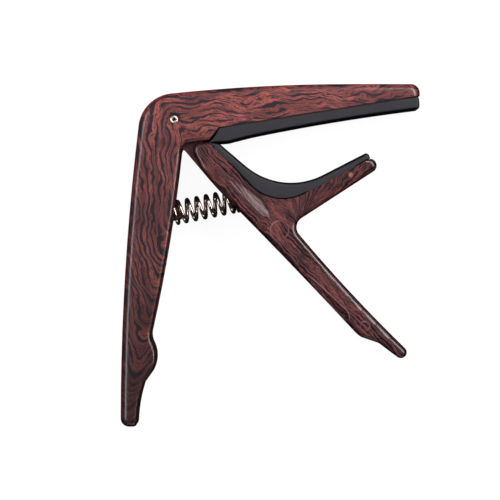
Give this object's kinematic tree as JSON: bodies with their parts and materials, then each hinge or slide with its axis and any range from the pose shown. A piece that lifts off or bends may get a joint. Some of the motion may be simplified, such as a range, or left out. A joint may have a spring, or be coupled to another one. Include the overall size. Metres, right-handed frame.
{
  "type": "guitar capo",
  "caption": "Spring clamp capo for a guitar: two hinged cast arms with wood-grain finish, silicone pads and a coil spring between the handles.",
  "frame": {"origin": "middle of the underside of the whole capo's box, lying on its side", "axes": "+X along the pad arm away from the hinge, +Y from the long handle's end towards the hinge, +Z across the capo's width, parallel to the hinge pin"},
  "size_m": [0.0822, 0.094, 0.015],
  "materials": {
    "wood_grain_film": "cast light alloy with a glossy wood-grain film",
    "silicone": "satin black silicone",
    "pin_steel": "plated steel",
    "spring_steel": "dark plated spring wire"
  },
  "bodies": {
    "upper_half": {"upper_arm": "wood_grain_film", "upper_pad": "silicone", "hinge_pin": "pin_steel", "spring": "spring_steel"},
    "lower_half": {"lower_arm": "wood_grain_film", "lower_pad": "silicone"}
  },
  "joints": [
    {"name": "jaw_hinge", "type": "hinge", "parent": "upper_half", "child": "lower_half", "pos_m": [-0.02636, 0.03717, 0.0075], "axis": [0, 0, -1], "range_deg": [0, 18], "stiffness_Nm_per_rad": 7.2, "springref_deg": -3.44, "deforming": ["spring"]}
  ]
}
